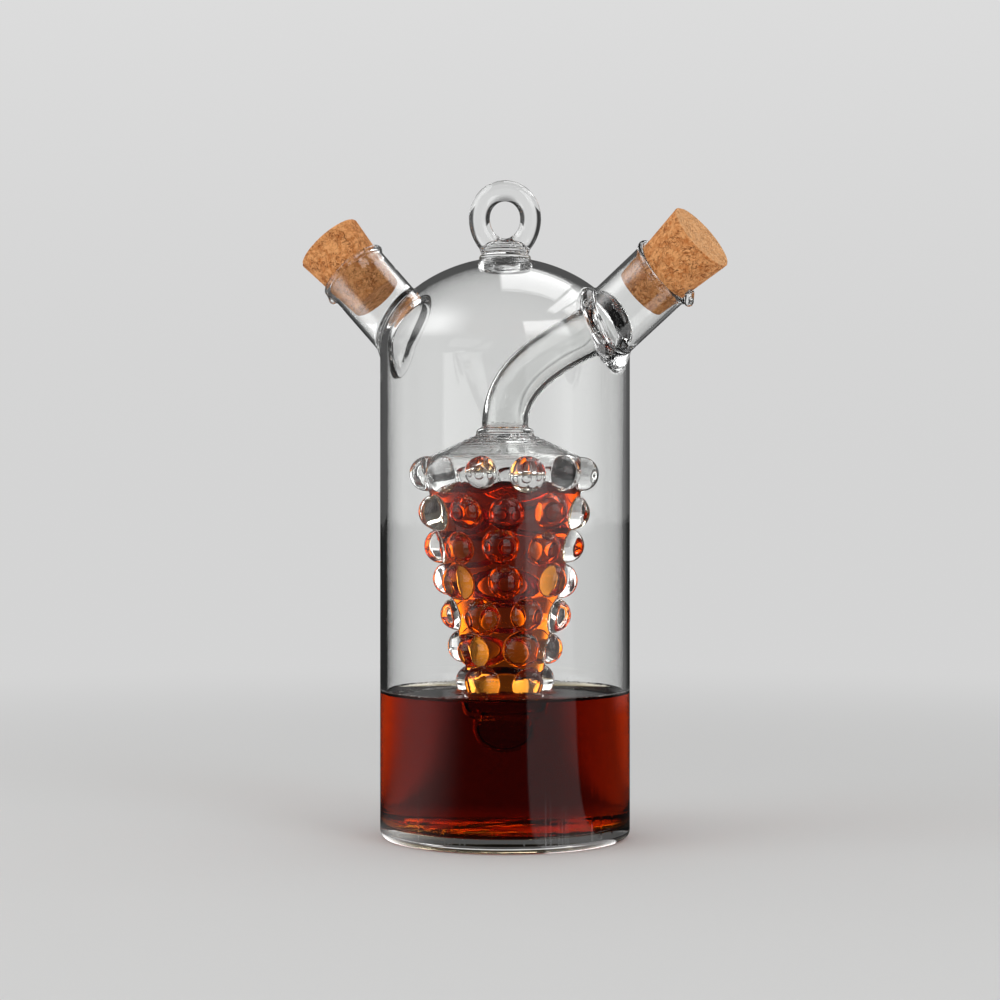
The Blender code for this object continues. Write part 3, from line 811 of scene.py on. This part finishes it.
def cork_grain():
    """Pressed cork: granules of different tan, curled seams, dark specks and pores, and a paler end grain."""
    dark_tan, light_tan = (0.56, 0.18, 0.044, 1), (0.93, 0.44, 0.17, 1)
    seam_brown, speck_brown = (0.30, 0.075, 0.016, 1), (0.25, 0.065, 0.014, 1)
    pore_brown = (0.13, 0.03, 0.008, 1)
    end_dark, end_light = (0.80, 0.40, 0.16, 1), (0.93, 0.56, 0.28, 1)
    made = bpy.data.materials.new("cork_grain")
    n = Nodes(made)
    place = n.add("TexCoord").outputs["Object"]
    warp = n.add("TexNoise", {"Vector": place, "Scale": 300.0, "Detail": 3.0, "Roughness": 0.6})
    shift = n.out("VectorMath", {0: warp.outputs["Color"], 1: (0.5, 0.5, 0.5)}, operation="SUBTRACT")
    shift = n.out("VectorMath", {0: shift, "Scale": 0.003}, operation="SCALE")
    bent = n.out("VectorMath", {0: place, 1: shift}, operation="ADD")
    granule = {"Vector": bent, "Scale": 700.0}
    cells = n.add("TexVoronoi", granule, feature="F1").outputs["Color"]
    edges = n.add("TexVoronoi", granule, feature="DISTANCE_TO_EDGE").outputs["Distance"]
    tone = n.out("SeparateColor", {0: cells})
    cloud = n.noise(place, 750.0, 4.0, 0.7)
    grain = n.noise(bent, 1900.0, 4.0, 0.7)
    shade = n.plus(n.times(tone, 0.14), n.times(cloud, 0.46), n.times(grain, 0.40))
    light = n.blend(n.ramp(shade, 0.34, 0.62), dark_tan, light_tan)
    seam = n.times(n.ramp(edges, 0.0, 0.035, 1.0, 0.0), n.ramp(n.noise(place, 500.0, 2.0), 0.45, 0.6))
    curl = n.math("ABSOLUTE", n.minus(n.noise(place, 330.0, 2.0, 0.5, 2.2), 0.5))
    curl = n.times(n.ramp(curl, 0.005, 0.03, 1.0, 0.0), n.ramp(n.noise(place, 240.0, 2.0), 0.44, 0.54))
    lines = n.math("MAXIMUM", n.times(seam, 0.5), n.times(curl, 0.85))
    light = n.blend(lines, light, seam_brown)
    speck = n.ramp(n.noise(bent, 1350.0, 3.0, 0.7, 0.6), 0.63, 0.68)
    pore = n.ramp(n.noise(bent, 760.0, 3.0, 0.65, 0.8), 0.65, 0.69)
    light = n.blend(n.times(speck, 0.65), light, speck_brown)
    light = n.blend(n.times(pore, 0.85), light, pore_brown)
    end = n.times(n.add("Attribute", attribute_name="end").outputs["Fac"], 0.6)
    fibre = n.noise(n.out("Mapping", {"Vector": place, "Scale": (1.0, 0.3, 1.0)}), 1500.0, 3.0, 0.6)
    light = n.blend(end, light, n.blend(n.ramp(fibre, 0.35, 0.65), end_dark, end_light))
    dip = n.plus(n.times(lines, 0.9), n.times(pore, 1.6), n.times(speck, 0.8))
    shader = n.out("BsdfPrincipled", {
        "Base Color": light, "Roughness": n.ramp(grain, 0.2, 0.8, 0.72, 0.92),
        "Normal": n.bump(0.8, 0.0003, n.minus(n.times(grain, 0.6), dip)), "Specular IOR Level": 0.25,
    })
    n.add("OutputMaterial", {"Surface": shader})
    return made


# Surroundings

HORIZON = 0.66
# How many surfaces of glass or liquor light goes through: of the jar where air fills it, of the jar's liquor,
# of the pour tube or the vessel where air fills that, and of the vessel's liquor
PAST_JAR, PAST_LIQUOR, PAST_TUBE, PAST_VESSEL = 4, 6, 8, 10
# Through liquor: the lamps at the right and the left, what fills in between them, and the dim room
RIGHT_LAMP, LEFT_LAMP, FILL, ROOM = 2.1, 1.6, 0.7, 0.34
# In the vessel: how much more of the lamps, and how much less of the fill and the room
VESSEL_LAMPS, VESSEL_FILL, VESSEL_ROOM = 1.4, 0.85, 0.22
# What the glass mirrors of the floor and the room: the lamps, the light behind and the darkest level. The
# floor's are painted reflections, which it shows as its own glow
FLOOR_LAMP, FLOOR_BACK, FLOOR_DARK = 2.4, 0.8, 0.10
WALL_LAMP, WALL_BACK, WALL_DARK = 2.6, 0.8, 0.08
# Windows above: their sides and ends over the height, and their level
WINDOWS = (
    (-0.03, 0.55, 0.1, 1.05, 2.6),
    (0.58, 0.75, -0.32, 0.8, 3.2),
    (0.78, 1.1, -0.1, 2.0, 3.0),
)
WINDOW_EDGE = 0.02
FLOOR_RINGS = (0.1, 0.25, 0.5, 1.0, 2.0, 4.0, 9.0)


def mirrored(n):
    """One for light that the glass has mirrored at least once on its way."""
    return n.math("MINIMUM", n.add("LightPath").outputs["Glossy Depth"], 1.0)


def passed(n, count):
    """One for light that has gone through at least so many surfaces of glass or liquor."""
    return n.math("GREATER_THAN", n.add("LightPath").outputs["Transmission Depth"], count - 0.5)


def turned(n, x, y):
    """Degrees round the bottle, 0 behind it and + to the right."""
    return n.times(n.math("ARCTAN2", x, y), 180 / math.pi)


def through_liquor(n, x, y):
    """What shows through liquor: a dim room with lamps at the sides, which draw the berries and the edges."""
    spin = turned(n, x, y)
    right = n.band(spin, (22.0, 50.0), (95.0, 130.0))
    left = n.band(spin, (-130.0, -95.0), (-50.0, -28.0))
    lamps = n.plus(n.times(right, RIGHT_LAMP), n.times(left, LEFT_LAMP))
    vessel = passed(n, PAST_VESSEL - 1)
    lamps = n.times(lamps, n.plus(1.0, n.times(vessel, VESSEL_LAMPS)))
    fill = n.ramp(n.math("ABSOLUTE", spin), 8.0, 16.0, 0.0, FILL)
    fill = n.times(fill, n.minus(1.0, n.times(vessel, VESSEL_FILL)))
    return n.plus(n.plus(lamps, fill), n.minus(ROOM, n.times(vessel, VESSEL_ROOM)))


def lamp_quarters(n, spin):
    """Where the glass mirrors a wide soft lamp on the left, a sharp one on the right and a light behind."""
    left = n.band(spin, (-150.0, -105.0), (-105.0, -50.0))
    right = n.band(spin, (114.0, 117.0), (160.0, 162.5))
    return left, right, n.band(spin, (20.0, 45.0), (55.0, 75.0))


def painted_floor_reflection(n, x, y, far):
    """Painted reflection: the floor as the glass mirrors it, glowing with painted lamp bands, and with the
    light behind only on its far part.
    """
    left, right, back = lamp_quarters(n, turned(n, x, y))
    glow = n.plus(n.times(left, FLOOR_LAMP), n.times(right, FLOOR_LAMP))
    return n.plus(glow, n.times(back, far, FLOOR_BACK), FLOOR_DARK)


def mirrored_room(n, x, y, up):
    """What the glass mirrors of the room: dark walls, the lamps, windows above, and a low strip behind that
    the liquor's foot shows as streaks."""
    spin = turned(n, x, y)
    left, right, back = lamp_quarters(n, spin)
    left = n.times(left, n.ramp(up, 0.6, 0.95, WALL_LAMP, 0.0))
    right = n.times(right, n.ramp(up, 0.66, 0.68, WALL_LAMP, 0.0))
    back = n.times(back, n.ramp(up, 0.72, 0.78, WALL_BACK, 0.0))
    front = n.minus(1.0, passed(n, PAST_JAR - 1))
    share = n.plus(0.62, n.times(front, n.ramp(up, 0.15, 0.5, -0.40, 0.9)))
    glow = n.times(n.plus(left, right, back), share)
    strip = n.band(up, (0.10, 0.12), (0.145, 0.165))
    strip = n.times(strip, n.ramp(n.math("ABSOLUTE", spin), 25.0, 50.0, 7.0, 0.0))
    glow = n.plus(glow, n.times(strip, passed(n, PAST_LIQUOR)))
    above = n.ramp(up, 0.3, 0.35)
    height = n.math("MAXIMUM", up, 0.05)
    across, ahead = n.math("DIVIDE", x, height), n.math("DIVIDE", y, height)
    for *window, level in WINDOWS:
        x0, x1, y0, y1 = ((side - WINDOW_EDGE, side + WINDOW_EDGE) for side in window)
        glow = n.plus(glow, n.times(n.band(across, x0, x1), n.band(ahead, y0, y1), above, level))
    return n.plus(glow, WALL_DARK)


def stage():
    """A pale floor that runs into the pale background. Seen through liquor or mirrored in the glass, it glows
    with painted lamp light instead.
    """
    sides = 64
    points = [(0, 0, 0)] + ring_points([(r, 0) for r in FLOOR_RINGS], sides)
    mesh = bpy.data.meshes.new("floor")
    mesh.from_pydata(points, [], ring_faces(len(FLOOR_RINGS), sides))
    floor = link("floor", mesh)
    floor.location.z = -0.00002
    made = bpy.data.materials.new("pale_floor")
    n = Nodes(made)
    place = n.add("NewGeometry").outputs["Position"]
    away = n.add("VectorMath", {0: place}, operation="LENGTH").outputs["Value"]
    x, y, _ = n.add("SeparateXYZ", {0: place}).outputs
    near = n.out("BsdfDiffuse", {"Color": (0.78, 0.78, 0.775, 1)})
    plain = n.mix(n.ramp(away, 0.12, 0.7), near, n.glow(grey(HORIZON)))
    # Painted lamp light: seen through liquor, the floor glows with the lamps at the sides and the dim room
    floor_painted_lamp_glow = n.glow(n.blend(n.ramp(away, 0.03, 0.09), grey(0.7), through_liquor(n, x, y)))
    in_liquor = n.minus(passed(n, PAST_LIQUOR - 1), passed(n, PAST_TUBE - 1))
    plain = n.mix(n.plus(in_liquor, passed(n, PAST_VESSEL - 1)), plain, floor_painted_lamp_glow)
    # Painted reflection: mirrored in the glass, the floor glows with painted lamp bands, stronger or weaker
    # by how steeply it is seen
    facing = n.add("LayerWeight", {"Blend": 0.5}).outputs["Facing"]
    steep = n.times(n.ramp(facing, 0.70, 0.84, 1.3, 0.20), n.ramp(facing, 0.2, 0.5, 0.4, 1.0))
    strength = n.math("MAXIMUM", n.minus(steep, passed(n, PAST_JAR - 1)), 0.05)
    glow = n.glow(painted_floor_reflection(n, x, y, n.ramp(away, 0.40, 0.55)), strength)
    n.add("OutputMaterial", {"Surface": n.mix(mirrored(n), plain, glow)})
    mesh.materials.append(made)


def backdrop():
    """Pale for the camera and through the glass, where softly darker quarters draw the edges."""
    world = bpy.data.worlds.new("studio")
    scene.world = world
    n = Nodes(world)
    way = n.add("TexCoord").outputs["Generated"]
    x, y, up = n.add("SeparateXYZ", {0: way}).outputs
    spin = n.math("ARCTAN2", x, y)
    double = n.math("COSINE", n.times(spin, 2.0))
    fourth = n.math("COSINE", n.times(spin, 4.0))
    quarter = n.ramp(n.plus(fourth, n.times(double, 0.35)), -0.35, 0.45, 0.04, 0.70)
    through = n.times(quarter, n.ramp(up, 0.25, 0.75, 1.0, 0.45))
    camera_sky = n.ramp(up, 0.0, 0.5, HORIZON, 0.80)
    path = n.add("LightPath")
    level = n.blend(path.outputs["Is Camera Ray"], grey(0.45), camera_sky)
    level = n.blend(path.outputs["Is Transmission Ray"], level, through)
    rim = n.times(passed(n, PAST_LIQUOR), n.ramp(up, 0.10, 0.2), n.minus(1.0, passed(n, PAST_TUBE)))
    level = n.blend(rim, level, grey(2.4))
    low = n.times(passed(n, PAST_LIQUOR - 1), n.ramp(up, 0.0, 0.02, 1.0, 0.0))
    in_liquor = n.math("MAXIMUM", passed(n, PAST_VESSEL - 1), low)
    level = n.blend(in_liquor, level, through_liquor(n, x, y))
    level = n.blend(mirrored(n), level, mirrored_room(n, x, y, up))
    n.add("OutputWorld", {"Surface": n.out("Background", {"Color": level, "Strength": 1.0})})


def softbox(name, place, width, height, glow, aim=(0, 0, 0.1)):
    lamp = bpy.data.lights.new(name, "AREA")
    lamp.shape = "RECTANGLE"
    lamp.size, lamp.size_y = width, height
    lamp.energy = glow * math.pi * width * height
    made = link(name, lamp)
    made.location = place
    made.visible_camera = made.visible_glossy = made.visible_transmission = False
    made.rotation_euler = (Vector(aim) - Vector(place)).to_track_quat("-Z", "Y").to_euler()


def camera():
    lens = bpy.data.cameras.new("camera")
    lens.sensor_width = 36.0
    lens.lens = 80.28
    lens.clip_start = 0.01
    made = link("camera", lens)
    made.location = (-0.0015, -0.671, 0.1011)
    made.rotation_euler = (math.pi / 2, 0, 0)
    scene.camera = made


camera()
stage()
backdrop()
softbox("left_softbox", (-0.85, -0.28, 0.32), 0.7, 1.0, 1.6)
softbox("right_softbox", (0.62, -0.72, 0.42), 0.42, 0.8, 2.4)
softbox("top_softbox", (0.0, 0.15, 1.1), 0.8, 0.8, 1.0)

glass_look = clear_glass("lampworked_glass", GLASS_INDEX)
wet_look = clear_glass("wet_glass", GLASS_INDEX / LIQUOR_INDEX)
jar_look = liquor("amber_liquor", 37.0, 95.0, 250.0)
vessel_look = liquor("golden_liquor", 13.0, 92.0, 260.0)
cork_look = cork_grain()

# The glass is cut a little above each level, where the liquor has climbed its walls.
bottle = finish_mesh("glass_bottle", glass, (-60, -39, -1), (58, 39, 199.2), 240000,
                     (OUTER_LEVEL + JAR_CLIMB, INNER_LEVEL + VESSEL_CLIMB))
bottle.data.materials.append(glass_look)
bottle.data.materials.append(wet_look)
mark_wet(bottle.data)
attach(bottle, "glass")
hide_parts("outer_jar", "ring_foot", "hanging_ring", "outer_spout", "inner_spout", "outer_weld",
            "inner_weld", "pour_tube", "grape_vessel", "vessel_collar")

jar_fill = finish_mesh("jar_liquor", jar_liquor, (-37, -37, 2.5), (37, 37, 48), 60000)
vessel_fill = finish_mesh("vessel_liquor", vessel_liquor, (-26, -26, 25), (26, 26, 110), 40000)
for piece, look, node in ((jar_fill, jar_look, "outer_liquor"), (vessel_fill, vessel_look, "inner_liquor")):
    piece.data.materials.append(look)
    mark_free(piece.data)
    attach(piece, "glass")
    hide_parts(node)

for name, spout, out_length, in_length, seed, slope, node, body in (
    ("left_stopper", LEFT, 10.9, 12.3, 3.0, 0.0, "outer_cork", "left_cork"),
    ("right_stopper", RIGHT, 15.9, 8.5, 11.0, -0.03, "inner_cork", "right_cork"),
):
    piece = cork(name, spout, out_length, in_length, seed, slope)
    piece.data.materials.append(cork_look)
    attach(piece, body)
    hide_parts(node)

scene.view_settings.view_transform = "Standard"
scene.cycles.max_bounces = 32
scene.cycles.transmission_bounces = 32
scene.cycles.glossy_bounces = 16
scene.cycles.transparent_max_bounces = 32
